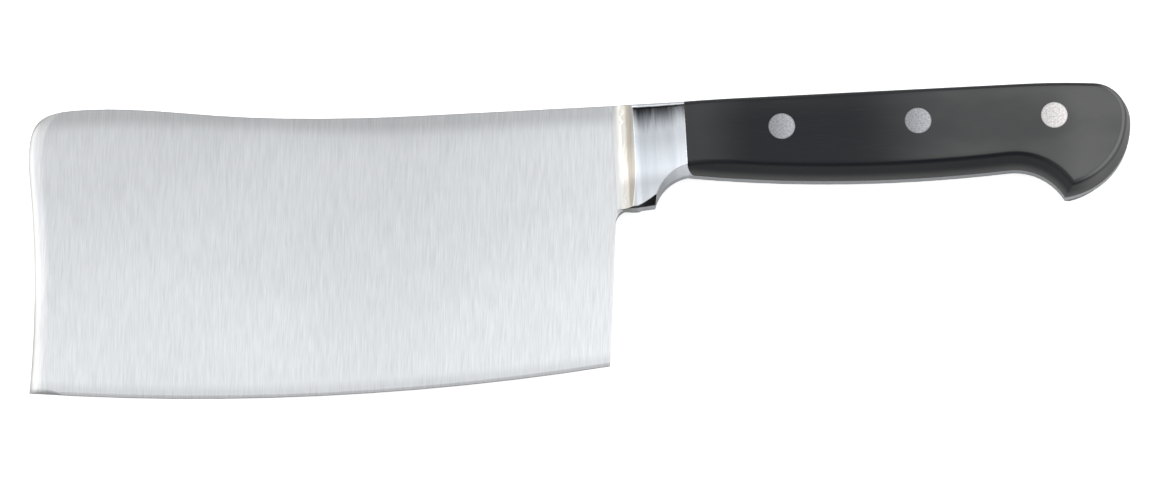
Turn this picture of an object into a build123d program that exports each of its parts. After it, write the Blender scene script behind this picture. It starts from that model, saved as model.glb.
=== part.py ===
from build123d import *
import math
import os

# A full-tang kitchen cleaver lying on its side. X runs from the nose of the blade to the butt
# of the handle, Y from the cutting edge to the spine, and Z is the knife's thickness. The
# origin is on the surface that it lies on, under the middle of its outline.

# Sizes of the whole knife, in millimetres
grip_thickness = 17.0
tang_thickness = 3.0
handle_length = 120.0
bolster_length = 13.8
groove_length = 6.4
blade_length = 159.2

# Blade outline: depths are below the straight part of the spine
heel_depth = 72.3
belly_drop = 4.1
nose_lift = 0.6
spine_rise = 6.4
heel_setback = 3.5
heel_lean = 3.9
notch_radius = 3.8
nose_lean = 2.3
nose_hollow = 1.6
hump_setback = 17.9
corner_setback = 6.0

# Blade section
spine_thickness = 3.2
nose_thickness = 2.4
ground_thickness = 0.9
apex_width = 0.12
edge_angle = 25.0
nose_bevel_width = 3.2
nose_bevel_depth = 0.28
nose_bevel_lift = 1.0

# Bolster: widths are over both sides, the foot is its lower end
ridge_width = 10.4
waist_width = 10.9
joint_width = 12.4
foot_ridge_width = 3.6
foot_waist_width = 9.2
groove_radius = 7.1
groove_turn = 76.0
root_sink = 0.04
ridge_rounding = 2.2
foot_depth = 29.1
foot_rise = 0.35
foot_length = 4.6
foot_facet = 5.7
ridge_facet = 1.0
foot_shift = 1.0
throat_depth = 20.5
throat_slope = 0.15

# Handle outline at the tang, setbacks from the butt; its walls draw in towards the outer faces
belly_depth = 24.7
beak_depth = 32.1
beak_setback = 19.0
waist_setback = 33.8
shoulder_setback = 9.4
top_end_setback = 28.8
side_taper = 12.0
under_taper = 21.0
flare_length = 14.0
grip_rounding = 1.8
toe_radius = 1.8
toe_turn = 60.0

# Rivets: each is a headed tube and a headed pin pressed into it
rivet_head_diameter = 7.2
rivet_head_height = 2.2
rivet_tube_diameter = 4.8
rivet_pin_diameter = 3.2
rivet_clearance = 0.05
rivet_end_gap = 0.6
front_rivet_setback = 25.8
rear_rivet_setback = 20.8
rivet_depth = 10.1
rivet_fall = 0.35
rivet_names = ("front", "middle", "rear")

# Shares of the lengths that the outlines follow
spine_flat_share = 0.32
slope_shares = (0.67, 0.47)
corner_rise_share = 0.66
corner_inset_shares = (0.6, 0.5)
nose_top_share = 0.165
nose_mid_share = 0.50
belly_share = 0.53
handle_belly_share = 0.48
handle_waist_share = 0.96
under_lead_share = 0.1
shoulder_share = 0.026
tail_share = 0.345
waist_share = 0.5

# Cuts run this far past what they cut, and faces steeper than this belong to the handle's walls
overrun = 6.0
wall_angle = 25.0

# Places that follow from the sizes, counted from the joint of bolster and scales
blade_root = -(bolster_length + groove_length)
nose_x = blade_root - blade_length
nose_depth = heel_depth - nose_lift
edge_depth = heel_depth + belly_drop
grip_half = grip_thickness / 2
tang_half = tang_thickness / 2
nose_half = nose_thickness / 2
side_slope = math.tan(math.radians(side_taper))
under_slope = math.tan(math.radians(under_taper))
scale_thickness = grip_half - tang_half
joint_x = -(nose_x + handle_length) / 2
spine_y = (edge_depth - spine_rise) / 2
middle = Plane(origin=(joint_x, spine_y, grip_half))
head_seat = grip_half - rivet_head_height
rivet_span = handle_length - front_rivet_setback - rear_rivet_setback
rivet_pitch = rivet_span / (len(rivet_names) - 1)
rivet_places = [
    (front_rivet_setback + i * rivet_pitch, -rivet_depth - i * rivet_fall)
    for i in range(len(rivet_names))
]


def across(x):
    """Plane square to the knife's length, x from the joint; its own x is Y and its y is Z."""
    return Plane(origin=(joint_x + x, spine_y, grip_half), x_dir=(0, 1, 0), z_dir=(1, 0, 0))


def along(depth):
    """Plane square to the knife's height, below the spine; its own x is X and its y is Z."""
    return Plane(origin=(joint_x, spine_y - depth, grip_half), x_dir=(1, 0, 0), z_dir=(0, -1, 0))


def nose_curve(inset, lift):
    """Draws the round corner and the front end of the blade, moved in and lifted at the hump."""
    hump = (nose_x + hump_setback, spine_rise + lift)
    corner = (
        nose_x + corner_setback + corner_inset_shares[0] * inset,
        corner_rise_share * spine_rise - corner_inset_shares[1] * inset,
    )
    top = (nose_x + nose_lean + inset, -nose_top_share * nose_depth)
    mid = (nose_x + nose_lean / 2 + nose_hollow + inset, -nose_mid_share * nose_depth)
    foot = (nose_x + inset, -nose_depth)
    rounding = Spline(hump, corner, top, tangents=[(-1, 0), (nose_lean / nose_depth, -1)])
    front = ThreePointArc(top, mid, foot)
    tip = Line(front @ 1, front @ 1 + overrun * (front % 1))
    return rounding @ 0, tip @ 1


def blade_outline():
    """Outline of the blade from the bolster round the nose, run past the cutting edge."""
    root = (blade_root, 0)
    flat_end = (blade_root - spine_flat_share * blade_length, 0)
    slope = (blade_root - slope_shares[0] * blade_length, slope_shares[1] * spine_rise)
    heel_x = blade_root - heel_setback
    heel_slope = heel_lean / (heel_depth - foot_depth)
    past_heel = (heel_x - overrun * heel_slope, -heel_depth - overrun)
    notch = (heel_x + heel_lean, -foot_depth)
    with BuildSketch() as outline:
        with BuildLine():
            hump, past_nose = nose_curve(0, 0)
            Line(root, flat_end)
            Spline(flat_end, slope, hump, tangents=[(-1, 0), (-1, 0)])
            Polyline(
                past_nose,
                past_heel,
                notch,
                (-bolster_length, -foot_depth),
                (-bolster_length, -throat_depth),
                root,
            )
        make_face()
        fillet(outline.vertices().sort_by_distance((*notch, 0))[0], notch_radius)
    return outline.sketch


def spine_width(x):
    """Thickness of the wedge's back at x from the joint, even from the bolster to the nose."""
    return nose_thickness + (spine_thickness - nose_thickness) * (x - nose_x) / blade_length


def ground_half(depth, back_width):
    """Half thickness of the ground blade at a depth below the spine."""
    return (back_width - (back_width - ground_thickness) * depth / edge_depth) / 2


def blade_section(back_width):
    """Cross section of the wedge that the blade is ground to, run past both its ends."""
    top = spine_rise + overrun
    bottom = edge_depth + overrun
    top_half = ground_half(-top, back_width)
    bottom_half = ground_half(bottom, back_width)
    corners = ((top, top_half), (top, -top_half), (-bottom, -bottom_half), (-bottom, bottom_half))
    with BuildSketch() as section:
        with BuildLine():
            Polyline(*corners, close=True)
        make_face()
    return section.sketch


def edge_region():
    """Region over the cutting edge, run past the blade everywhere else."""
    belly = (blade_root - belly_share * blade_length, -edge_depth)
    heel = (blade_root - heel_setback, -heel_depth)
    far_top = spine_rise + overrun
    with BuildSketch() as region:
        with BuildLine():
            edge = ThreePointArc((nose_x, -nose_depth), belly, heel)
            before = Line(edge @ 0, edge @ 0 - overrun * (edge % 0))
            after = Line(edge @ 1, edge @ 1 - blade_root * (edge % 1))
            Polyline(
                after @ 1,
                ((after @ 1).X, far_top),
                ((before @ 1).X, far_top),
                before @ 1,
            )
        make_face()
    return region.sketch


def nose_region(inset):
    """Region behind the front end of the blade, moved in, run past the blade elsewhere."""
    far_top = spine_rise + overrun
    far_bottom = -edge_depth - overrun
    with BuildSketch() as region:
        with BuildLine():
            hump, past_nose = nose_curve(inset, nose_bevel_lift)
            Polyline(past_nose, (0, far_bottom), (0, far_top), (hump.X, far_top), hump)
        make_face()
    return region.sketch


# Cutting edge: a bevel of even angle on both sides of the ground blade
with BuildPart() as edge_form:
    with BuildSketch(middle):
        add(edge_region())
    extrude(amount=apex_width / 2, both=True)
    for side in (1, -1):
        with BuildSketch(middle.offset(side * apex_width / 2)):
            add(edge_region())
        extrude(amount=side * spine_thickness, taper=90 - edge_angle)

# Nose bevel: a shallow slope round the front end, laid parallel to the ground face
face_tilt = math.atan((nose_thickness - ground_thickness) / 2 / edge_depth)
nose_face = Plane(
    origin=(joint_x, spine_y, grip_half + nose_half),
    x_dir=(1, 0, 0),
    z_dir=(0, -math.sin(face_tilt), math.cos(face_tilt)),
)
with BuildPart() as nose_form:
    with BuildSketch(nose_face.offset(-2 * nose_bevel_depth)):
        add(nose_region(-nose_bevel_width))
    extrude(amount=-spine_thickness)
    with BuildSketch(nose_face.offset(-2 * nose_bevel_depth)):
        add(nose_region(-nose_bevel_width))
    with BuildSketch(nose_face.offset(nose_bevel_depth)):
        add(nose_region(2 * nose_bevel_width))
    loft(ruled=True)
    with BuildSketch(nose_face.offset(nose_bevel_depth)):
        add(nose_region(2 * nose_bevel_width))
    extrude(amount=spine_thickness)

# Blade: the outline cut to a wedge that thins towards the edge and towards the nose
with BuildPart() as blade:
    with BuildSketch(middle):
        add(blade_outline())
    extrude(amount=spine_thickness, both=True)
    for x in (0, nose_x - overrun):
        with BuildSketch(across(x)):
            add(blade_section(spine_width(x)))
    loft(ruled=True, mode=Mode.INTERSECT)
    add(edge_form.part, mode=Mode.INTERSECT)
    add(nose_form.part, mode=Mode.INTERSECT)
    mirror(nose_form.part, about=middle, mode=Mode.INTERSECT)


def bolster_section(width, foot_width, rounding):
    """Cross section of the bolster, run past its foot, with the spine at its own right."""
    half = width / 2
    shoulder = -side_slope * (half - tang_half)
    waist = -throat_depth / 2
    foot = -foot_depth - overrun
    with BuildSketch() as section:
        with BuildLine():
            Bezier((foot, -foot_width / 2), ((waist + foot) / 2, -half), (waist, -half))
            Polyline(
                (waist, -half),
                (shoulder, -half),
                (0, -tang_half),
                (0, tang_half),
                (shoulder, half),
                (waist, half),
            )
            Bezier((waist, half), ((waist + foot) / 2, half), (foot, foot_width / 2))
            Line((foot, foot_width / 2), (foot, -foot_width / 2))
        make_face()
        for side in (half, -half):
            fillet(section.vertices().sort_by_distance((shoulder, side, 0))[0], rounding)
    return section.sketch


def guard_outline(draft):
    """Outline over the bolster's foot and throat, at the tang (draft 0) or outer face (draft 1)."""
    ridge_height = -foot_depth + draft * ridge_facet
    foot = (
        -bolster_length + foot_length + draft * foot_shift,
        -foot_depth + foot_rise + draft * foot_facet,
    )
    throat = (0, -throat_depth + draft * under_slope * scale_thickness)
    far_front = blade_root - overrun
    with BuildSketch() as outline:
        with BuildLine():
            TangentArc(throat, foot, tangent=(-1, -throat_slope))
            Polyline(
                foot,
                (-bolster_length, ridge_height),
                (far_front, ridge_height),
                (far_front, overrun),
                (overrun, overrun),
                (overrun, throat[1]),
                throat,
            )
        make_face()
    return outline.sketch


def groove_section(root_half):
    """Plan of the bolster with its groove, run past it behind; the arcs rise from the blade."""
    far_front = blade_root - overrun
    with BuildSketch() as section:
        with BuildLine():
            upper = JernArc((blade_root, root_half), (1, 0), groove_radius, groove_turn)
            lower = JernArc((blade_root, -root_half), (1, 0), groove_radius, -groove_turn)
            Polyline(upper @ 1, (overrun, (upper @ 1).Y), (overrun, (lower @ 1).Y), lower @ 1)
            Polyline(
                upper @ 0,
                (far_front, root_half),
                (far_front, -root_half),
                lower @ 0,
            )
        make_face()
    return section.sketch


def back_curve():
    """Draws the straight back of the handle and its round butt down to the tip of the hook."""
    top_end = (handle_length - top_end_setback, 0)
    shoulder = (handle_length - shoulder_setback, -shoulder_share * beak_depth)
    tail = (handle_length, -tail_share * beak_depth)
    beak = (handle_length - beak_setback, -beak_depth)
    Line(top_end, (0, 0))
    upper = TangentArc(top_end, shoulder, tangent=(1, 0))
    round_end = TangentArc(shoulder, tail, tangent=upper % 1)
    lower = TangentArc(tail, beak, tangent=round_end % 1)
    return lower


def under_curve(lead_share):
    """Draws the belly, led in from ahead of the joint, and the hollow of the hook to its tip."""
    throat = (0, -throat_depth)
    belly = (handle_belly_share * handle_length, -belly_depth)
    waist = (handle_length - waist_setback, -handle_waist_share * belly_depth)
    beak = (handle_length - beak_setback, -beak_depth)
    arc = ThreePointArc(throat, belly, waist, mode=Mode.PRIVATE)
    under = ThreePointArc(arc @ -lead_share, belly, waist)
    hollow = TangentArc(waist, beak, tangent=under % 1)
    return under, hollow


def grip_outline():
    """Outline of the handle behind the joint, at the tang."""
    with BuildSketch() as outline:
        with BuildLine():
            back_curve()
            under_curve(0)
            Line((0, 0), (0, -throat_depth))
        make_face()
    return outline.sketch


def back_region():
    """Region under the back and inside the butt, run past the handle elsewhere."""
    with BuildSketch() as region:
        with BuildLine():
            lower = back_curve()
            tip = lower @ 1 + overrun * (lower % 1)
            Polyline(lower @ 1, tip, (-overrun, tip.Y), (-overrun, 0), (0, 0))
        make_face()
    return region.sketch


def under_region():
    """Region over the belly and the hook's hollow, run past the handle elsewhere."""
    far_butt = handle_length + overrun
    with BuildSketch() as region:
        with BuildLine():
            under, hollow = under_curve(under_lead_share)
            tip = hollow @ 1 + overrun * (hollow % 1)
            Polyline(
                hollow @ 1,
                tip,
                (far_butt, tip.Y),
                (far_butt, overrun),
                ((under @ 0).X, overrun),
                under @ 0,
            )
        make_face()
    return region.sketch


def swell_plan():
    """Plan of one side of the handle: it swells from the joint to its full thickness."""
    far_butt = handle_length + overrun
    full = (flare_length, grip_half)
    joint = (0, joint_width / 2)
    with BuildSketch() as plan:
        with BuildLine():
            TangentArc(full, joint, tangent=(-1, 0))
            Polyline(joint, (0, 0), (far_butt, 0), (far_butt, grip_half), full)
        make_face()
    return plan.sketch


def toe_region():
    """Corner under the joint that the forging fills, bounded by the scale's rounded front."""
    start = (0, -throat_depth + toe_radius)
    with BuildSketch() as region:
        with BuildLine():
            corner = JernArc(start, (0, -1), toe_radius, toe_turn)
            tip = corner @ 1 + overrun * (corner % 1)
            Line(corner @ 1, tip)
            Polyline(tip, (0, tip.Y), start)
        make_face()
    return region.sketch


# Bolster: its outer form, the concave throat under it and the groove in front of it
middle_rounding = (ridge_rounding + grip_rounding) / 2
stations = (
    (blade_root - root_sink, ridge_width, foot_ridge_width, ridge_rounding),
    (-bolster_length, ridge_width, foot_ridge_width, ridge_rounding),
    (-waist_share * bolster_length, waist_width, foot_waist_width, middle_rounding),
    (0, joint_width, joint_width, grip_rounding),
)
with BuildPart() as guard_form:
    with BuildSketch(middle):
        add(guard_outline(0))
    extrude(amount=tang_half, both=True)
    for side in (1, -1):
        with BuildSketch(middle.offset(side * tang_half)):
            add(guard_outline(0))
        with BuildSketch(middle.offset(side * grip_half)):
            add(guard_outline(1))
        loft(ruled=True)
with BuildPart() as groove_form:
    for depth in (-overrun, foot_depth + overrun):
        with BuildSketch(along(depth)):
            add(groove_section(ground_half(depth, spine_thickness) - root_sink))
    loft(ruled=True)
with BuildPart() as bolster:
    for x, width, foot_width, rounding in stations:
        with BuildSketch(across(x)):
            add(bolster_section(width, foot_width, rounding))
    loft()
    add(guard_form.part, mode=Mode.INTERSECT)
    add(groove_form.part, mode=Mode.INTERSECT)

# Handle blank, one side of the tang: drafted walls, a swelling outer face and a rounded rim
with BuildPart() as blank:
    with BuildSketch(middle.offset(tang_half)):
        add(back_region())
    extrude(amount=scale_thickness, taper=side_taper)
    with BuildSketch(middle.offset(tang_half)):
        add(under_region())
    extrude(amount=scale_thickness, taper=under_taper, mode=Mode.INTERSECT)
    with BuildSketch(along(-overrun)):
        add(swell_plan())
    extrude(amount=beak_depth + 2 * overrun, mode=Mode.INTERSECT)
    joint_face = blank.faces().sort_by(Axis.X)[0]
    outer_edges = ShapeList()
    for face in blank.faces():
        if face.normal_at().Z > math.cos(math.radians(wall_angle)):
            outer_edges += face.edges()
    rim = ShapeList()
    for edge in outer_edges:
        others = outer_edges + joint_face.edges()
        if sum(edge.center() == other.center() for other in others) == 1:
            rim.append(edge)
    fillet(rim, grip_rounding)

# Toe: the forging wraps the rounded lower corner at the front of each scale
with BuildPart() as toe:
    with BuildSketch(middle):
        add(toe_region())
    extrude(amount=grip_half)
with BuildPart() as toe_fill:
    add(blank.part)
    add(toe.part, mode=Mode.INTERSECT)

# Forging: blade, bolster and full tang in one piece, drilled for the rivets
with BuildPart() as blade_forging:
    add(blade.part)
    add(bolster.part)
    with BuildSketch(middle):
        add(grip_outline())
    extrude(amount=tang_half, both=True)
    add(toe_fill.part)
    mirror(toe_fill.part, about=middle)
    with BuildSketch(middle):
        with Locations(*rivet_places):
            Circle(rivet_tube_diameter / 2 + rivet_clearance)
    extrude(amount=grip_half, both=True, mode=Mode.SUBTRACT)

# Scales: one on each side of the tang, counterbored for the heads of the rivets
with BuildPart() as upper_scale:
    add(blank.part)
    add(toe.part, mode=Mode.SUBTRACT)
    with BuildSketch(middle):
        with Locations(*rivet_places):
            Circle(rivet_tube_diameter / 2 + rivet_clearance)
    extrude(amount=grip_half, mode=Mode.SUBTRACT)
    with BuildSketch(middle.offset(head_seat)):
        with Locations(*rivet_places):
            Circle(rivet_head_diameter / 2 + rivet_clearance)
    extrude(amount=rivet_head_height + overrun, mode=Mode.SUBTRACT)
with BuildPart() as lower_scale:
    mirror(upper_scale.part, about=middle)

os.makedirs("parts", exist_ok=True)
for name, piece in (
    ("blade_forging", blade_forging),
    ("upper_scale", upper_scale),
    ("lower_scale", lower_scale),
):
    piece.part.label = name
    export_step(piece.part, "parts/" + name + ".step")

# Rivets: a headed tube goes in from the upper side and a headed pin is pressed into its bore
for name, (x, y) in zip(rivet_names, rivet_places):
    across_rivet = Plane(
        origin=(joint_x + x, spine_y + y, grip_half), x_dir=(1, 0, 0), z_dir=(0, -1, 0)
    )
    with BuildPart() as tube:
        with BuildSketch(across_rivet):
            with BuildLine():
                Polyline(
                    (0, grip_half),
                    (rivet_head_diameter / 2, grip_half),
                    (rivet_head_diameter / 2, head_seat),
                    (rivet_tube_diameter / 2, head_seat),
                    (rivet_tube_diameter / 2, rivet_end_gap - head_seat),
                    (rivet_pin_diameter / 2, rivet_end_gap - head_seat),
                    (rivet_pin_diameter / 2, head_seat),
                    (0, head_seat),
                    close=True,
                )
            make_face()
        revolve(axis=Axis(across_rivet.origin, (0, 0, 1)))
    with BuildPart() as pin:
        with BuildSketch(across_rivet):
            with BuildLine():
                Polyline(
                    (0, -grip_half),
                    (rivet_head_diameter / 2, -grip_half),
                    (rivet_head_diameter / 2, -head_seat),
                    (rivet_pin_diameter / 2, -head_seat),
                    (rivet_pin_diameter / 2, head_seat - rivet_end_gap),
                    (0, head_seat - rivet_end_gap),
                    close=True,
                )
            make_face()
        revolve(axis=Axis(across_rivet.origin, (0, 0, 1)))
    tube.part.label = name + "_rivet_tube"
    export_step(tube.part, "parts/" + tube.part.label + ".step")
    pin.part.label = name + "_rivet_pin"
    export_step(pin.part, "parts/" + pin.part.label + ".step")
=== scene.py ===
"""Finishes, floor, light and camera for a full-tang kitchen cleaver lying on its side.

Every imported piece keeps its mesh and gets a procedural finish. The regions of a finish are set out
from places that are read from the frame, such as the joint of bolster and scales.
"""

import logging
import math
from dataclasses import dataclass, field, replace
from enum import Enum

import bpy
from mathutils import Matrix, Vector


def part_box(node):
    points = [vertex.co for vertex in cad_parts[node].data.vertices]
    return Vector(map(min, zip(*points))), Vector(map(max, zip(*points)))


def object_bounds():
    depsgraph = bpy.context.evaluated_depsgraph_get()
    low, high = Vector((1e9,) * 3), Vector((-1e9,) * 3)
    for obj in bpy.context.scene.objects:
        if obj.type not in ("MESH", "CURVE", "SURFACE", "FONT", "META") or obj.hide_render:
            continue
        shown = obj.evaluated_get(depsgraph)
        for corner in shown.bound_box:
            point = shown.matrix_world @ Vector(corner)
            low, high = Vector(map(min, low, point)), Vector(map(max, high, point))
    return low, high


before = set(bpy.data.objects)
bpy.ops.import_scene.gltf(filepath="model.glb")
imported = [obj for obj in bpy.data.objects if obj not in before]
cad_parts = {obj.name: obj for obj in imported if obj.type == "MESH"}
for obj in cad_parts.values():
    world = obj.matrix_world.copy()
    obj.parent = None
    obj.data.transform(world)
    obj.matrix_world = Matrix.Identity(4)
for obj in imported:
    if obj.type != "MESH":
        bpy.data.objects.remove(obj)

CAD_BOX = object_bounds()
PHOTO_WIDTH = 1160
PHOTO_HEIGHT = 484
MM = 0.001

log = logging.getLogger("cleaver")

Socket = bpy.types.NodeSocket
Value = float | Socket
Triple = tuple[float, float, float]
Colour = Triple


class Rivet(Enum):
    """The rivets by their place along the handle."""

    FRONT = "front"
    MIDDLE = "middle"
    REAR = "rear"


class Scale(Enum):
    """The grip scales by the side of the tang that they cover."""

    UPPER = "upper_scale"
    LOWER = "lower_scale"


@dataclass(frozen=True)
class Datums:
    """The places that the finishes, the lamp and the camera are set out from."""

    nose_x: float
    joint_x: float
    butt_x: float
    edge_y: float
    spine_y: float
    hump_y: float
    floor_z: float
    middle_z: float
    tang_half: float

    @classmethod
    def read(cls) -> "Datums":
        """Reads them from the whole box and from the upper scale, which lies on the tang.

        Returns:
            The places in metres.
        """
        lowest, highest = CAD_BOX
        inner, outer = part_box(Scale.UPPER.value)
        middle_z = (lowest.z + highest.z) / 2
        return cls(
            nose_x=lowest.x,
            joint_x=inner.x,
            butt_x=outer.x,
            edge_y=lowest.y,
            spine_y=outer.y,
            hump_y=highest.y,
            floor_z=lowest.z,
            middle_z=middle_z,
            tang_half=inner.z - middle_z,
        )


@dataclass(frozen=True)
class Ramp:
    """A smooth change from one level to another, between two readings."""

    start: float
    end: float
    low: Value = 0.0
    high: Value = 1.0

    def moved(self, by: float) -> "Ramp":
        """Gives the same change with both of its readings moved on."""
        return replace(self, start=self.start + by, end=self.end + by)


def span(start: float, end: float, low: float = 0.0, high: float = 1.0) -> Ramp:
    """Gives a ramp between two places in millimetres.

    Args:
        start: The place where the change starts.
        end: The place where it ends.
        low: The level before the start.
        high: The level after the end.

    Returns:
        The ramp, with its places in metres.
    """
    return Ramp(start * MM, end * MM, low, high)


@dataclass(frozen=True)
class Tone:
    """A tinted grey, as a share of a level."""

    share: float
    tint: Colour = (1.0, 1.0, 1.0)

    def at(self, level: float = 1.0) -> Colour:
        """Gives the colour at that level."""
        return tuple(level * self.share * channel for channel in self.tint)


@dataclass(frozen=True)
class Grain:
    """Soft random grain: its length along each axis in millimetres, and its finer layers."""

    sizes: Triple
    detail: float = 2.0
    roughness: float = 0.5


class NodeBench:
    """A node tree being filled, with a method for each kind of step."""

    def __init__(self, tree: bpy.types.NodeTree) -> None:
        """Takes the tree and empties it.

        Args:
            tree: The node tree of a material or a world.
        """
        self.tree = tree
        self.tree.nodes.clear()

    def add(self, kind: str, **inputs: object) -> bpy.types.Node:
        """Adds a node and fills its inputs.

        Args:
            kind: The node's type name.
            inputs: Values or sockets by input name, with spaces written as underscores.

        Returns:
            The new node.
        """
        node = self.tree.nodes.new(kind)
        for name, value in inputs.items():
            self.feed(node.inputs[name.replace("_", " ")], value)
        return node

    def feed(self, socket: Socket, value: object) -> None:
        """Links a socket to an input, or sets the input to a plain value.

        Args:
            socket: The input to fill.
            value: Another node's output, or a number, colour or vector.
        """
        if isinstance(value, Socket):
            self.tree.links.new(value, socket)
        elif isinstance(value, tuple) and len(value) == 3 and socket.type == "RGBA":
            socket.default_value = (*value, 1.0)
        else:
            socket.default_value = value

    def place(self) -> Socket:
        """Gives the place on the object in the frame's own metres."""
        return self.add("ShaderNodeTexCoord").outputs["Object"]

    def facing(self, kind: str = "Normal") -> Socket:
        """Gives the way that the surface faces, smoothed or, as True Normal, by facet."""
        return self.add("ShaderNodeNewGeometry").outputs[kind]

    def seen(self) -> Socket:
        """Gives 1 where the camera looks straight at something, else 0."""
        return self.add("ShaderNodeLightPath").outputs["Is Camera Ray"]

    def axes(self, vector: Socket) -> tuple[Socket, Socket, Socket]:
        """Splits a vector into its three numbers.

        Args:
            vector: The socket to split.

        Returns:
            The X, Y and Z outputs.
        """
        node = self.add("ShaderNodeSeparateXYZ", Vector=vector)
        return node.outputs["X"], node.outputs["Y"], node.outputs["Z"]

    def math(self, operation: str, first: Value, second: Value = 0.0) -> Socket:
        """Works out one step of arithmetic.

        Args:
            operation: The name of the operation, such as MULTIPLY.
            first: The first number.
            second: The second number.

        Returns:
            The result.
        """
        node = self.add("ShaderNodeMath")
        node.operation = operation
        self.feed(node.inputs[0], first)
        self.feed(node.inputs[1], second)
        return node.outputs[0]

    def product(self, first: Value, *others: Value) -> Value:
        """Multiplies numbers by each other.

        Args:
            first: The first number.
            others: The numbers that it is multiplied by.

        Returns:
            The product.
        """
        for other in others:
            first = self.math("MULTIPLY", first, other)
        return first

    def minus(self, first: Value, second: Value) -> Socket:
        """Takes the second number from the first."""
        return self.math("SUBTRACT", first, second)

    def size(self, value: Value) -> Socket:
        """Gives a number without its sign."""
        return self.math("ABSOLUTE", value)

    def step(self, value: Value, ramp: Ramp) -> Socket:
        """Reads a number through a ramp.

        Args:
            value: The number to read.
            ramp: The change that it passes through.

        Returns:
            The level.
        """
        node = self.add(
            "ShaderNodeMapRange",
            Value=value,
            From_Min=ramp.start,
            From_Max=ramp.end,
            To_Min=ramp.low,
            To_Max=ramp.high,
        )
        node.interpolation_type = "SMOOTHSTEP"
        return node.outputs["Result"]

    def noise(self, vector: Socket, grain: Grain) -> Socket:
        """Gives soft random grain.

        Args:
            vector: The place.
            grain: The grain's sizes and layers.

        Returns:
            A number from 0 to 1, mostly near the middle.
        """
        scale = tuple(1.0 / (size * MM) for size in grain.sizes)
        node = self.add(
            "ShaderNodeTexNoise",
            Vector=self.add("ShaderNodeMapping", Vector=vector, Scale=scale).outputs["Vector"],
            Scale=1.0,
            Detail=grain.detail,
            Roughness=grain.roughness,
        )
        return node.outputs["Fac"]

    def mix(self, share: Value, first: object, second: object) -> Socket:
        """Mixes two colours.

        Args:
            share: How much of the second colour shows.
            first: The first colour.
            second: The second colour.

        Returns:
            The mixed colour.
        """
        node = self.tree.nodes.new("ShaderNodeMix")
        node.data_type = "RGBA"
        self.feed(node.inputs[0], share)
        self.feed(node.inputs[6], first)
        self.feed(node.inputs[7], second)
        return node.outputs[2]

    def blend(self, share: Value, first: Value, second: Value) -> Socket:
        """Mixes two numbers.

        Args:
            share: How much of the second number counts.
            first: The first number.
            second: The second number.

        Returns:
            The mixed number.
        """
        node = self.tree.nodes.new("ShaderNodeMix")
        self.feed(node.inputs[0], share)
        self.feed(node.inputs[2], first)
        self.feed(node.inputs[3], second)
        return node.outputs[0]

    def dim(self, colour: Socket, share: Value) -> Socket:
        """Darkens or lightens a colour.

        Args:
            colour: The colour.
            share: What its brightness is multiplied by.

        Returns:
            The changed colour.
        """
        node = self.add("ShaderNodeVectorMath")
        node.operation = "SCALE"
        self.feed(node.inputs[0], colour)
        self.feed(node.inputs["Scale"], share)
        return node.outputs["Vector"]

    def relief(self, height: Socket, depth: float, base: Socket | None = None) -> Socket:
        """Turns a height into a bumped normal.

        Args:
            height: The height, from 0 to 1.
            depth: The depth of the relief in millimetres.
            base: The normal that the relief lies on, or none for the surface's own.

        Returns:
            The normal.
        """
        bump = self.add("ShaderNodeBump", Height=height, Distance=depth * MM)
        if base is not None:
            self.feed(bump.inputs["Normal"], base)
        return bump.outputs["Normal"]

    def surface(self, **inputs: object) -> None:
        """Ends a material with its shader.

        Args:
            inputs: The shader's inputs, as add() takes them.
        """
        shader = self.add("ShaderNodeBsdfPrincipled", **inputs)
        self.add("ShaderNodeOutputMaterial", Surface=shader.outputs["BSDF"])


def new_material(name: str) -> tuple[bpy.types.Material, NodeBench]:
    """Makes an empty material.

    Args:
        name: The material's name.

    Returns:
        The material and the bench for its nodes.
    """
    made = bpy.data.materials.new(name)
    made.use_nodes = True
    return made, NodeBench(made.node_tree)


@dataclass(frozen=True)
class Spot:
    """Where a point of the forging lies, as outputs of its node tree."""

    place: Socket
    x: Socket
    y: Socket
    z: Socket
    depth: Socket


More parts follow.
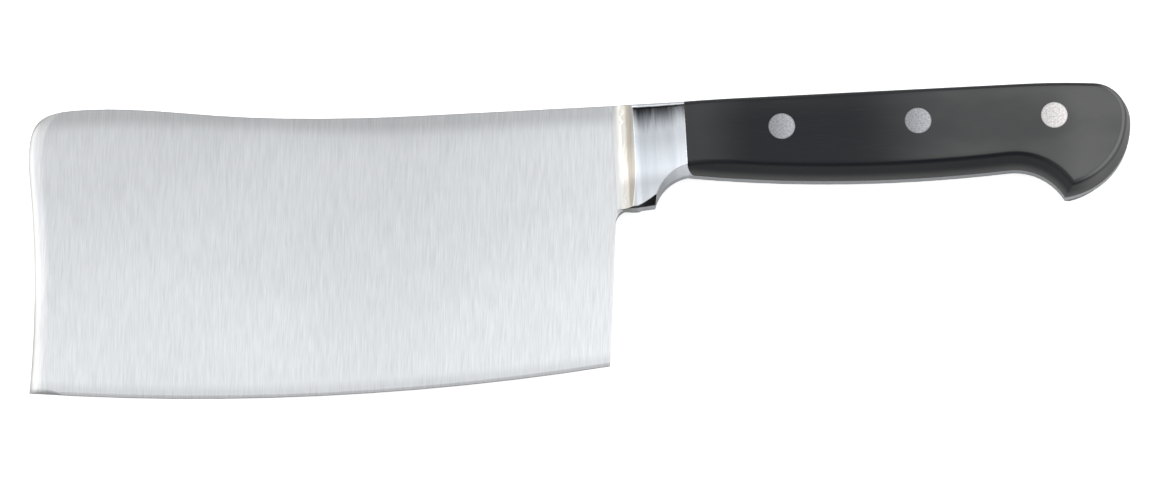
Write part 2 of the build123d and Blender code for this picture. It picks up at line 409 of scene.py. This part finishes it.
@dataclass(frozen=True)
class ForgedSteel:
    """Satin steel brushed across the blade, polished on the bolster, in one material.

    Tones are shares of the level. Ramps are over the place along the knife, counted from what
    their comment names, over the depth below the spine, or over what else their comment says.
    """

    datums: Datums
    bolster_length: float = 13.8 * MM
    groove_length: float = 6.4 * MM
    flat_length: float = 51.0 * MM
    hump_setback: float = 17.9 * MM
    belly_setback: float = 99.7 * MM
    belly_radius: float = 685.0 * MM
    level: float = 0.653

    # Grain
    brush: Grain = Grain((0.37, 7.5, 8.0), 3.0, 0.65)
    drift: Grain = Grain((60.0, 16.0, 60.0), 1.0)
    streak: Grain = Grain((1.3, 26.0, 26.0), 3.0, 0.6)
    band_wobble: Grain = Grain((2.0, 24.0, 24.0), 3.0, 0.6)
    cloud: Grain = Grain((42.0, 30.0, 30.0))
    wander: float = 0.9 * MM
    lean: float = 0.075
    relief_depth: float = 0.006
    streak_relief: float = 0.3

    # Shine, over the brush lines and over the streaks
    satin_shine: Ramp = Ramp(0.3, 0.7, 0.29, 0.39)
    polish_shine: Ramp = Ramp(0.35, 0.65, 0.10, 0.17)

    # Ground faces: tones, then ramps over the depth (painted shade below the spine, painted light
    # lower down), over the clouds and over the height above the cutting edge (painted shade)
    satin_dark: Tone = Tone(0.78, (0.985, 0.995, 1.01))
    satin_light: Tone = Tone(1.21, (0.985, 0.995, 1.01))
    spine_band: Ramp = span(1.9, 6.6, 0.79, 1.0)
    spine_fade: Ramp = span(2.0, 12.0, 0.91, 1.0)
    painted_lower_light: Ramp = span(0.0, 85.0, 0.95, 1.18)
    clouding: Ramp = Ramp(0.3, 0.7, 0.98, 1.02)
    edge_shade: Ramp = span(0.8, 4.5, 0.84, 1.0)

    # Ground faces, from the root of the blade: painted light towards the root, painted shade just
    # after it
    rear_lift: Ramp = span(-70.0, 0.0, 1.0, 1.08)
    root_shade: Ramp = span(0.2, 1.8, 1.0, 0.78)

    # Rounded nose: the radius from the nose, the painted light by how far the surface faces forward,
    # and its strength over the depth
    rounding: Ramp = span(5.0, 9.0, 2.4 * MM, 0.4 * MM)
    rounding_samples: int = 8
    nose_turn: Ramp = Ramp(-0.005, -0.12, 1.0)
    nose_light: Ramp = span(43.0, 64.0, 1.16, 0.95)

    # Groove, from the root of the blade: where the polish starts, then painted shade and painted
    # light along it, and the level of its painted shade at the bottom over the depth
    polished: Ramp = span(0.4, 3.4)
    groove_fall: Ramp = span(0.3, 1.1, 1.0)
    groove_rise: Ramp = span(2.6, 5.8, 1.0, 1.3)
    groove_level: Ramp = span(15.0, 23.0, 0.77, 0.88)

    # Bolster's tones: polishing streaks, and a painted warm reflection in the groove and on the
    # steep wall
    polish_dark: Tone = Tone(0.77, (0.93, 0.98, 1.05))
    polish_light: Tone = Tone(0.99, (0.97, 1.0, 1.04))
    hollow_tone: Tone = Tone(0.97, (1.0, 0.99, 0.955))
    wall_tone: Tone = Tone(0.79, (1.03, 1.0, 0.94))

    # Bolster over the depth, from the ridge and from the joint: painted light lower down and by the
    # joint, painted shade in the throat and on the tang, and the start of the groove's tint
    lift: Ramp = span(10.0, 17.0, 1.0, 1.29)
    throat: Ramp = span(18.5, 23.5, 1.0, 0.63)
    hollow: Ramp = span(-0.6, -1.4)
    rear_glow: Ramp = span(-4.0, 0.0, 1.0, 1.06)
    tang_shade: Ramp = span(0.0, 1.0, 1.0, 0.75)

    # Ridge: its crest, and its front by how steep the facet is, from the ridge and over the depth;
    # both get a painted highlight, and the steep wall a painted warm reflection
    crest_start: Ramp = span(-0.5, 0.0)
    crest_end: Ramp = span(0.5, 1.6, 1.0, 0.0)
    wall_slope: Ramp = Ramp(-0.35, -0.5)
    wall_end: Ramp = span(1.0, 2.0, 1.0, 0.0)
    facet_slope: Ramp = Ramp(-0.1, -0.18)
    facet_steepest: Ramp = Ramp(-0.5, -0.4)
    facet_end: Ramp = span(2.4, 3.2, 1.0, 0.0)
    facet_bottom: Ramp = span(14.0, 18.0, 1.0, 0.0)
    ridge_light: float = 1.25

    # Painted dark reflection below the spine: its reach over the uneven grain, its loss from the
    # ridge, its fading
    dark_band_reach: Ramp = Ramp(0.34, 0.66, -0.9 * MM, 0.9 * MM)
    dark_band_loss: Ramp = Ramp(2.0 * MM, bolster_length, -0.4 * MM, 1.2 * MM)
    dark_band_top: Ramp = span(1.45, 2.15)
    dark_band_fading: Ramp = span(1.4, 9.5, 1.0, 0.0)
    dark_band_side: Ramp = span(-0.5, 0.1)
    dark_band_level: float = 0.04

    # Foot's painted shade: by how far the facet faces the edge, over the depth, from the joint and
    # off the tang
    foot_slant: Ramp = Ramp(-0.6, -0.45, 1.0, 0.0)
    foot_top: Ramp = span(22.5, 22.9)
    foot_rear: Ramp = span(-8.9, -8.7, 1.0, 0.0)
    foot_side: Ramp = span(0.1, 0.5)
    foot_shade_level: float = 0.03

    @property
    def ridge_x(self) -> float:
        """Gives the place of the bolster's ridge along the knife."""
        return self.datums.joint_x - self.bolster_length

    @property
    def root_x(self) -> float:
        """Gives the place of the blade's root along the knife."""
        return self.ridge_x - self.groove_length

    def material(self) -> bpy.types.Material:
        """Builds the material.

        Returns:
            The material.
        """
        made, bench = new_material("forged_steel")
        spot = self.find_spot(bench)
        lines = self.brush_lines(bench, spot)
        streaks = bench.noise(spot.place, self.streak)
        radius = bench.step(spot.x, self.rounding.moved(self.datums.nose_x))
        rounded = bench.add("ShaderNodeBevel", Radius=radius)
        rounded.samples = self.rounding_samples
        normal = rounded.outputs["Normal"]
        polished = bench.step(spot.x, self.polished.moved(self.root_x))
        colour = bench.mix(
            polished,
            self.satin_colour(bench, spot, lines, normal),
            self.polish_colour(bench, spot, streaks),
        )
        shine = bench.blend(
            polished, bench.step(lines, self.satin_shine), bench.step(streaks, self.polish_shine)
        )
        height = bench.blend(polished, lines, bench.product(streaks, self.streak_relief))
        bench.surface(
            Base_Color=bench.dim(colour, self.groove_shade(bench, spot)),
            Metallic=1.0,
            Roughness=shine,
            Normal=bench.relief(height, self.relief_depth, normal),
        )
        return made

    def find_spot(self, bench: NodeBench) -> Spot:
        """Finds the place on the forging and its depth below the spine, which rises to a hump.

        Args:
            bench: The tree being filled.

        Returns:
            The spot.
        """
        place = bench.place()
        x, y, z = bench.axes(place)
        curve = Ramp(
            self.root_x - self.flat_length,
            self.datums.nose_x + self.hump_setback,
            self.datums.spine_y,
            self.datums.hump_y,
        )
        depth = bench.minus(bench.step(x, curve), y)
        return Spot(place, x, y, z, depth)

    def brush_lines(self, bench: NodeBench, spot: Spot) -> Socket:
        """Makes brush lines across the blade, which lean and wander a little.

        Args:
            bench: The tree being filled.
            spot: The place on the forging.

        Returns:
            A number from 0 to 1, mostly near the middle.
        """
        drift = bench.minus(bench.noise(spot.place, self.drift), 0.5)
        drift = bench.minus(bench.product(drift, self.wander), bench.product(spot.y, self.lean))
        shift = bench.add("ShaderNodeCombineXYZ", X=drift)
        moved = bench.add("ShaderNodeVectorMath")
        bench.feed(moved.inputs[0], spot.place)
        bench.feed(moved.inputs[1], shift.outputs["Vector"])
        return bench.noise(moved.outputs["Vector"], self.brush)

    def satin_colour(self, bench: NodeBench, spot: Spot, lines: Socket, normal: Socket) -> Socket:
        """Colours the ground faces: painted shade by spine and edge, painted light round the nose.

        Args:
            bench: The tree being filled.
            spot: The place on the forging.
            lines: The brush lines.
            normal: The rounded normal.

        Returns:
            The colour.
        """
        forward, _, _ = bench.axes(normal)
        nose_light = bench.step(spot.depth, self.nose_light)
        # Painted shade by the spine and above the edge, painted light lower down
        shade = bench.product(
            bench.step(spot.depth, self.spine_band),
            bench.step(spot.depth, self.spine_fade),
            bench.step(spot.depth, self.painted_lower_light),
            bench.step(bench.noise(spot.place, self.cloud), self.clouding),
            bench.step(self.above_edge(bench, spot), self.edge_shade),
            # Painted light towards the root, painted shade just after it
            bench.step(spot.x, self.rear_lift.moved(self.root_x)),
            bench.step(spot.x, self.root_shade.moved(self.root_x)),
            # Painted light where the rounded nose faces forward
            bench.step(forward, replace(self.nose_turn, high=nose_light)),
        )
        dark, light = self.satin_dark.at(self.level), self.satin_light.at(self.level)
        return bench.dim(bench.mix(lines, dark, light), shade)

    def above_edge(self, bench: NodeBench, spot: Spot) -> Socket:
        """Gives the height above the cutting edge, whose belly is a shallow arc.

        Args:
            bench: The tree being filled.
            spot: The place on the forging.

        Returns:
            The height in metres.
        """
        along = bench.minus(spot.x, self.datums.joint_x - self.belly_setback)
        rise = bench.product(along, along, 1.0 / (2.0 * self.belly_radius))
        return bench.minus(bench.minus(spot.y, self.datums.edge_y), rise)

    def groove_shade(self, bench: NodeBench, spot: Spot) -> Socket:
        """Paints shade on the groove, then painted light that grows towards the ridge.

        Args:
            bench: The tree being filled.
            spot: The place on the forging.

        Returns:
            What the colour is multiplied by.
        """
        bottom = bench.step(spot.depth, self.groove_level)
        fall = replace(self.groove_fall.moved(self.root_x), high=bottom)
        rise = self.groove_rise.moved(self.root_x)
        return bench.product(bench.step(spot.x, fall), bench.step(spot.x, rise))

    def polish_colour(self, bench: NodeBench, spot: Spot, streaks: Socket) -> Socket:
        """Colours the bolster: bluish streaks, painted warm reflection in the groove, a painted
        highlight on the ridge, and painted light and shade elsewhere.

        Args:
            bench: The tree being filled.
            spot: The place on the forging.
            streaks: The polishing streaks.

        Returns:
            The colour.
        """
        slope, sideways, _ = bench.axes(bench.facing("True Normal"))
        facet = bench.product(
            bench.step(slope, self.facet_slope),
            bench.step(slope, self.facet_steepest),
            bench.step(spot.x, self.facet_end.moved(self.ridge_x)),
            bench.step(spot.depth, self.facet_bottom),
        )
        crest = bench.product(
            bench.step(spot.x, self.crest_start.moved(self.ridge_x)),
            bench.step(spot.x, self.crest_end.moved(self.ridge_x)),
        )
        # Painted light and shade: dark band, lower lift, throat, joint, tang, ridge and foot
        shade = bench.product(
            # Painted dark reflection below the spine
            bench.blend(self.painted_dark_band(bench, spot), 1.0, self.dark_band_level),
            bench.step(spot.depth, self.lift),
            bench.step(spot.depth, self.throat),
            bench.step(spot.x, self.rear_glow.moved(self.datums.joint_x)),
            bench.step(spot.x, self.tang_shade.moved(self.datums.joint_x)),
            # Painted highlight on the ridge's facet and crest
            bench.blend(facet, 1.0, self.ridge_light),
            bench.blend(crest, 1.0, self.ridge_light),
            # Painted shade on the foot's slanted end
            bench.blend(self.painted_foot_shade(bench, spot, sideways), 1.0, self.foot_shade_level),
        )
        # Painted warm reflection on the ridge's steep wall, and in the groove
        wall = bench.product(
            bench.step(slope, self.wall_slope),
            bench.step(spot.x, self.wall_end.moved(self.ridge_x)),
        )
        colour = bench.mix(
            streaks, self.polish_dark.at(self.level), self.polish_light.at(self.level)
        )
        hollow = bench.step(spot.x, self.hollow.moved(self.ridge_x))
        colour = bench.mix(hollow, colour, self.hollow_tone.at(self.level))
        colour = bench.mix(wall, colour, self.wall_tone.at(self.level))
        return bench.dim(colour, shade)

    def painted_dark_band(self, bench: NodeBench, spot: Spot) -> Socket:
        """Places the painted dark reflection below the spine, which fades downwards with an uneven
        edge.

        Args:
            bench: The tree being filled.
            spot: The place on the forging.

        Returns:
            How strong it is, from 0 to 1.
        """
        reach = bench.step(bench.noise(spot.place, self.band_wobble), self.dark_band_reach)
        reach = bench.minus(reach, bench.step(spot.x, self.dark_band_loss.moved(self.ridge_x)))
        return bench.product(
            bench.step(spot.depth, self.dark_band_top),
            bench.step(bench.minus(spot.depth, reach), self.dark_band_fading),
            bench.step(spot.x, self.dark_band_side.moved(self.ridge_x)),
        )

    def painted_foot_shade(self, bench: NodeBench, spot: Spot, sideways: Socket) -> Socket:
        """Places the painted shade on the slanted end of the bolster's foot.

        Args:
            bench: The tree being filled.
            spot: The place on the forging.
            sideways: How far the facet faces the spine.

        Returns:
            How far the point belongs to it, from 0 to 1.
        """
        off_middle = bench.size(bench.minus(spot.z, self.datums.middle_z))
        return bench.product(
            bench.step(sideways, self.foot_slant),
            bench.step(spot.depth, self.foot_top),
            bench.step(spot.x, self.foot_rear.moved(self.datums.joint_x)),
            bench.step(off_middle, self.foot_side.moved(self.datums.tang_half)),
        )


@dataclass(frozen=True)
class GripBlack:
    """Satin black moulding with fine scuffs, and painted sheen towards both ends.

    Tones are shares of the level, apart from the painted sheen and the painted edge highlight.
    """

    datums: Datums
    level: float = 0.0095
    specular: float = 0.21
    relief_depth: float = 0.004

    # Grain
    scuff: Grain = Grain((9.0, 0.16, 0.16), 2.0, 0.6)
    fine: Grain = Grain((0.22, 0.22, 0.22))
    palm: Grain = Grain((26.0, 14.0, 14.0), 3.0)
    scuffed: Ramp = Ramp(0.56, 0.72)

    # Tones
    black: Tone = Tone(1.0, (0.92, 0.98, 1.3))
    scuff_tone: Tone = Tone(1.8, (0.95, 1.0, 1.15))
    rim_light_tone: Tone = Tone(9.0)
    sheen_tone: Tone = Tone(0.094)
    edge_highlight_tone: Tone = Tone(0.19)

    # Painted sheen over shares of the length from the joint, from the spine and over the
    # palm's grain
    front_sheen: Ramp = Ramp(0.02, 0.16, 0.32, 0.0)
    swell_sheen: Ramp = Ramp(0.36, 0.66, 0.0, 0.62)
    butt_sheen: Ramp = Ramp(0.8, 0.92, 0.0, 0.42)
    back_sheen: Ramp = span(-9.0, -1.0, 0.0, 0.1)
    palm_sheen: Ramp = Ramp(0.3, 0.7, 0.8, 1.1)

    # Where the painted sheen lies: the outer face by how far it faces up or down, the butt's end by
    # how far it faces back
    face: Ramp = Ramp(0.9, 0.985)
    end: Ramp = Ramp(0.1, 0.6)

    # Painted highlight on the edge of the butt, between the face and the rim
    highlight_start: Ramp = Ramp(0.996, 0.97)
    highlight_end: Ramp = Ramp(0.7, 0.85)
    highlight_butt: Ramp = Ramp(0.05, 0.3, 0.0, 0.8)

    # Painted light on the rim, lightest next to the tang, counted off the tang
    rim_light: Ramp = span(0.0, 3.6, 1.0, 0.0)

    # Shine over the palm's grain and over the fine grain
    palm_shine: Ramp = Ramp(0.35, 0.65, 0.40, 0.31)
    fine_shine: Ramp = Ramp(0.3, 0.7, -0.03, 0.03)

    def material(self) -> bpy.types.Material:
        """Builds the material.

        Returns:
            The material.
        """
        made, bench = new_material("grip_black")
        place = bench.place()
        x, y, z = bench.axes(place)
        backward, _, upward = bench.axes(bench.facing())
        upright = bench.size(upward)
        fine = bench.noise(place, self.fine)
        palm = bench.noise(place, self.palm)
        scuffed = bench.step(bench.noise(place, self.scuff), self.scuffed)
        colour = bench.mix(scuffed, self.black.at(self.level), self.scuff_tone.at(self.level))
        # Painted sheen towards both ends of the handle
        painted_sheen = bench.product(
            self.painted_sheen(bench, x, y),
            bench.step(palm, self.palm_sheen),
            bench.math(
                "MAXIMUM", bench.step(upright, self.face), bench.step(backward, self.end)
            ),
        )
        colour = bench.mix(painted_sheen, colour, self.sheen_tone.at())
        # Painted light on the rim, lightest next to the tang
        off_middle = bench.size(bench.minus(z, self.datums.middle_z))
        rim_light = bench.step(off_middle, self.rim_light.moved(self.datums.tang_half))
        colour = bench.mix(rim_light, colour, self.rim_light_tone.at(self.level))
        # Painted highlight along the butt's rounded edge
        edge_highlight = bench.product(
            bench.step(upright, self.highlight_start),
            bench.step(upright, self.highlight_end),
            bench.step(backward, self.highlight_butt),
        )
        shine = bench.math(
            "ADD", bench.step(palm, self.palm_shine), bench.step(fine, self.fine_shine)
        )
        bench.surface(
            Base_Color=bench.mix(edge_highlight, colour, self.edge_highlight_tone.at()),
            Roughness=shine,
            Specular_IOR_Level=self.specular,
            Normal=bench.relief(fine, self.relief_depth),
        )
        return made

    def painted_sheen(self, bench: NodeBench, x: Socket, y: Socket) -> Socket:
        """Places the painted sheen: at the front, over the swell, at the butt and along the back.

        Args:
            bench: The tree being filled.
            x: The place along the knife.
            y: The place across it.

        Returns:
            How strong it is, from 0 to 1.
        """
        joint_x, butt_x = self.datums.joint_x, self.datums.butt_x
        along = bench.product(bench.minus(x, joint_x), 1.0 / (butt_x - joint_x))
        painted_sheen = bench.step(y, self.back_sheen.moved(self.datums.spine_y))
        for ramp in (self.front_sheen, self.swell_sheen, self.butt_sheen):
            painted_sheen = bench.math("ADD", painted_sheen, bench.step(along, ramp))
        return painted_sheen


@dataclass(frozen=True)
class HeadLook:
    """How one rivet's head takes the light: its level, tint and fall across the head."""

    level: float
    tint: Colour
    slope: float


@dataclass(frozen=True)
class RivetSteel:
    """Matte steel of a ground-off rivet head, with fine specks and a darker rim."""

    centre: Vector
    head_radius: float
    look: HeadLook
    rim_width: float = 0.35 * MM
    rim_strength: float = 0.65
    rim_tone: Tone = Tone(0.35)
    dark_share: float = 0.76
    light_share: float = 1.2
    speck: Grain = Grain((0.5, 0.5, 0.5), 3.0, 0.7)
    speckled: Ramp = Ramp(0.38, 0.62)
    shine: Ramp = Ramp(0.3, 0.7, 0.44, 0.56)
    relief_depth: float = 0.01

    def material(self, name: str) -> bpy.types.Material:
        """Builds the material.

        Args:
            name: The material's name.

        Returns:
            The material, with its rim round the rivet's axis.
        """
        made, bench = new_material(name)
        place = bench.place()
        x, y, _ = bench.axes(place)
        across = bench.minus(x, self.centre.x)
        up = bench.minus(y, self.centre.y)
        squares = bench.math("ADD", bench.product(across, across), bench.product(up, up))
        inner = self.head_radius - self.rim_width
        rim = bench.step(
            bench.math("SQRT", squares), Ramp(inner, self.head_radius, 0.0, self.rim_strength)
        )
        specks = bench.noise(place, self.speck)
        face = bench.mix(
            bench.step(specks, self.speckled),
            Tone(self.dark_share, self.look.tint).at(self.look.level),
            Tone(self.light_share, self.look.tint).at(self.look.level),
        )
        # Painted light and shade across the head: darker towards the blade, lighter towards the butt
        fall = Ramp(
            -self.head_radius, self.head_radius, 1.0 - self.look.slope, 1.0 + self.look.slope
        )
        face = bench.dim(face, bench.step(across, fall))
        bench.surface(
            Base_Color=bench.mix(rim, face, self.rim_tone.at(self.look.level)),
            Metallic=1.0,
            Roughness=bench.step(specks, self.shine),
            Normal=bench.relief(specks, self.relief_depth),
        )
        return made


@dataclass(frozen=True)
class PalePaper:
    """Seamless white paper for the floor, bright enough to lose most of the knife's shadow."""

    level: float = 0.7
    fibre: Grain = Grain((3.0, 3.0, 3.0))
    fibre_tone: Tone = Tone(0.985)
    paper_tone: Tone = Tone(1.0)
    roughness: float = 0.9
    glow: float = 0.75

    def material(self) -> bpy.types.Material:
        """Builds the material.

        Returns:
            The material.
        """
        made, bench = new_material("pale_paper")
        fibres = bench.noise(bench.place(), self.fibre)
        dark, light = self.fibre_tone.at(self.level), self.paper_tone.at(self.level)
        bench.surface(
            Base_Color=bench.mix(fibres, dark, light),
            Roughness=self.roughness,
            Emission_Color=Tone(1.0).at(),
            Emission_Strength=bench.blend(bench.seen(), 0.0, self.glow),
        )
        return made


@dataclass(frozen=True)
class LightTent:
    """Light from all round: bright overhead, dark low down, darkest behind the spine.

    Ramps are over one axis of the direction that the light comes from.
    """

    backdrop: Tone = Tone(0.96)

    # Low down: a dark back with a light far behind, a grey front and a warm left
    back_dark: Tone = Tone(0.06)
    back_light: Tone = Tone(1.6)
    back_turn: Ramp = Ramp(0.75, 0.97)
    front_light: Tone = Tone(0.25)
    front_turn: Ramp = Ramp(-0.3, -0.8)
    front_top: Ramp = Ramp(0.45, 0.3)
    left_light: Tone = Tone(1.0, (1.06, 1.0, 0.9))
    left_turn: Ramp = Ramp(-0.25, -0.8)

    # High up: a cool roof, brighter to the left and to the right
    roof_light: Tone = Tone(1.0, (0.98, 1.0, 1.02))
    high_left_light: Tone = Tone(1.9, (1.0, 1.0, 0.985))
    high_left_turn: Ramp = Ramp(-0.08, -0.65)
    high_right_light: Tone = Tone(1.6)
    high_right_turn: Ramp = Ramp(0.3, 0.7)

    # Where the low part ends: higher over the middle than at the sides
    middle_top: Ramp = Ramp(0.66, 0.86)
    side_top: Ramp = Ramp(0.18, 0.44)
    side_turn: Ramp = Ramp(0.2, 0.7)

    def world(self) -> bpy.types.World:
        """Builds the world.

        Returns:
            The world.
        """
        made = bpy.data.worlds.new("light_tent")
        made.use_nodes = True
        bench = NodeBench(made.node_tree)
        x, y, z = bench.axes(bench.add("ShaderNodeTexCoord").outputs["Generated"])
        low = bench.mix(bench.step(y, self.back_turn), self.back_dark.at(), self.back_light.at())
        front = bench.product(bench.step(y, self.front_turn), bench.step(z, self.front_top))
        low = bench.mix(front, low, self.front_light.at())
        low = bench.mix(bench.step(x, self.left_turn), low, self.left_light.at())
        high = bench.mix(
            bench.step(x, self.high_left_turn), self.roof_light.at(), self.high_left_light.at()
        )
        high = bench.mix(bench.step(x, self.high_right_turn), high, self.high_right_light.at())
        share = bench.blend(
            bench.step(bench.size(x), self.side_turn),
            bench.step(z, self.middle_top),
            bench.step(z, self.side_top),
        )
        tent = bench.mix(bench.seen(), bench.mix(share, low, high), self.backdrop.at())
        light = bench.add("ShaderNodeBackground", Color=tent)
        bench.add("ShaderNodeOutputWorld", Surface=light.outputs["Background"])
        return made


def dress(node: str, material: bpy.types.Material) -> str:
    """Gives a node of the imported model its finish.

    Args:
        node: The node's name.
        material: The finish.

    Returns:
        The name of the piece.
    """
    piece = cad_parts[node]
    piece.data.materials.clear()
    piece.data.materials.append(material)
    return piece.name


@dataclass
class Forging:
    """Blade, bolster and tang in one piece of steel."""

    datums: Datums
    node: str = "blade_forging"
    slot: str = "blade_steel"

    def build(self) -> list[str]:
        """Dresses the forging.

        Returns:
            The names of the pieces.
        """
        return [dress(self.node, ForgedSteel(self.datums).material())]


@dataclass
class Handle:
    """The pair of grip scales and the rivets through them."""

    datums: Datums
    grip_slot: str = "grip"
    rivet_slot: str = "rivet_steel"
    cool_tint: Colour = (0.985, 0.995, 1.05)
    warm_tint: Colour = (1.02, 0.985, 0.97)
    heads: dict[Rivet, HeadLook] = field(init=False)

    def __post_init__(self) -> None:
        """Sets how the head of each rivet takes the light."""
        self.heads = {
            Rivet.FRONT: HeadLook(0.357, self.cool_tint, 0.2),
            Rivet.MIDDLE: HeadLook(0.353, self.cool_tint, 0.2),
            Rivet.REAR: HeadLook(0.622, self.warm_tint, 0.12),
        }

    def build(self) -> list[str]:
        """Dresses the scales and the rivets.

        Returns:
            The names of the pieces.
        """
        black = GripBlack(self.datums).material()
        names = [dress(scale.value, black) for scale in Scale]
        for rivet in Rivet:
            names += self.build_rivet(rivet)
        return names

    def build_rivet(self, rivet: Rivet) -> list[str]:
        """Dresses both halves of one rivet.

        Args:
            rivet: Which rivet.

        Returns:
            The names of the pieces.
        """
        tube = f"{rivet.value}_rivet_tube"
        low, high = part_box(tube)
        steel = RivetSteel((low + high) / 2, (high.x - low.x) / 2, self.heads[rivet])
        material = steel.material(f"{rivet.value}_rivet_steel")
        halves = (tube, f"{rivet.value}_rivet_pin")
        return [dress(node, material) for node in halves]


@dataclass
class Studio:
    """Floor, light and camera.

    The lamp's offsets are from the end of the butt on the floor. The camera's datum is a point
    of the knife, from the joint at the spine, and the pixel where the photograph shows it.
    """

    datums: Datums
    floor_size: float = 6.0
    lamp_size: float = 0.1
    lamp_power: float = 0.07
    lamp_offset: Triple = (20.3 * MM, 110.0 * MM, 360.0 * MM)
    aim_offset: Triple = (0.3 * MM, 20.0 * MM, 0.0)
    azimuth: float = -3.0
    elevation: float = 74.0
    lens: float = 300.0
    sensor: float = 36.0
    clip_end: float = 20.0
    pixel: float = 0.27 * MM
    datum_offset: Triple = (0.9 * MM, -0.3 * MM, 0.0)
    datum_pixel: tuple[float, float] = (687.0, 105.0)

    def build(self) -> None:
        """Makes the floor, the light and the camera."""
        self.build_floor()
        bpy.context.scene.world = LightTent().world()
        self.build_lamp()
        self.build_camera()

    def build_floor(self) -> None:
        """Lays the floor under the knife."""
        half = self.floor_size / 2
        signs = ((-1, -1), (1, -1), (1, 1), (-1, 1))
        corners = [(along * half, across * half, self.datums.floor_z) for along, across in signs]
        mesh = bpy.data.meshes.new("floor")
        mesh.from_pydata(corners, [], [(0, 1, 2, 3)])
        floor = bpy.data.objects.new("floor", mesh)
        mesh.materials.append(PalePaper().material())
        bpy.context.scene.collection.objects.link(floor)

    def build_lamp(self) -> None:
        """Hangs a small soft lamp over the butt, which lifts the end of the handle."""
        lamp = bpy.data.lights.new("butt_lamp", "AREA")
        lamp.shape = "DISK"
        lamp.size = self.lamp_size
        lamp.energy = self.lamp_power
        lantern = bpy.data.objects.new("butt_lamp", lamp)
        butt = Vector((self.datums.butt_x, 0.0, self.datums.floor_z))
        lantern.location = butt + Vector(self.lamp_offset)
        aim = Vector(self.aim_offset) - Vector(self.lamp_offset)
        lantern.rotation_euler = aim.to_track_quat("-Z", "Y").to_euler()
        lantern.visible_camera = False
        bpy.context.scene.collection.objects.link(lantern)

    def build_camera(self) -> None:
        """Sets the camera at the photograph's angle and framing."""
        azimuth = math.radians(self.azimuth)
        elevation = math.radians(self.elevation)
        back = Vector((
            math.sin(azimuth) * math.cos(elevation),
            -math.cos(azimuth) * math.cos(elevation),
            math.sin(elevation),
        ))
        right = Vector((math.cos(azimuth), math.sin(azimuth), 0.0))
        up = back.cross(right)
        across = (PHOTO_WIDTH / 2 - self.datum_pixel[0]) * self.pixel
        rise = (self.datum_pixel[1] - PHOTO_HEIGHT / 2) * self.pixel
        corner = Vector((self.datums.joint_x, self.datums.spine_y, self.datums.middle_z))
        target = corner + Vector(self.datum_offset) + across * right + rise * up
        distance = self.lens / self.sensor * PHOTO_WIDTH * self.pixel
        camera = bpy.data.objects.new("camera", bpy.data.cameras.new("camera"))
        camera.data.lens = self.lens
        camera.data.sensor_width = self.sensor
        camera.data.clip_end = self.clip_end
        turn = Matrix((right, up, back)).transposed().to_4x4()
        camera.matrix_world = Matrix.Translation(target + distance * back) @ turn
        bpy.context.scene.collection.objects.link(camera)
        bpy.context.scene.camera = camera


def main() -> None:
    """Builds the scene and reports each piece."""
    logging.basicConfig(level=logging.INFO, format="%(name)s: %(message)s")
    bpy.context.scene.view_settings.view_transform = "Standard"
    datums = Datums.read()
    for assembly in (Forging(datums), Handle(datums)):
        for name in assembly.build():
            log.info("%s is dressed", name)
    Studio(datums).build()


if __name__ == "__main__":
    main()
